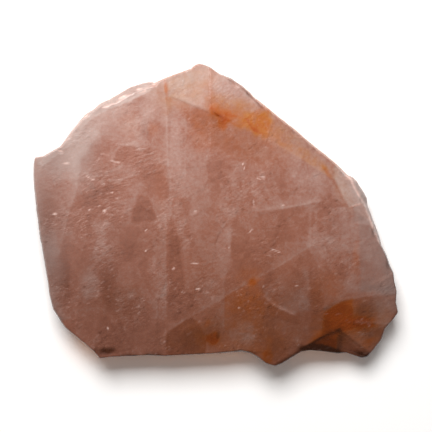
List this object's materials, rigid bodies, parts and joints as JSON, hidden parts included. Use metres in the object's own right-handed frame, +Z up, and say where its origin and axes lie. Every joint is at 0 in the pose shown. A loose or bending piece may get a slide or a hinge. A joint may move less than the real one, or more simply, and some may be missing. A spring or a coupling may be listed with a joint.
{
  "type": "rose quartz slice",
  "caption": "Flat slab of rough, cloudy pink quartz with broken, chipped edges, a stepped corner and a flat underside to rest on.",
  "frame": {"origin": "middle of the slab's bounding box, on the flat underside", "axes": "+X along the slab's longest side, +Y towards its pointed edge, +Z up out of the large face that is seen"},
  "size_m": [0.1452, 0.1206, 0.014],
  "materials": {
    "rose_quartz": "cloudy pink quartz with pale veils, fine fractures and orange-brown iron stains, softly glossy where it broke"
  },
  "bodies": {
    "root": {"slab": "rose_quartz"}
  },
  "joints": []
}
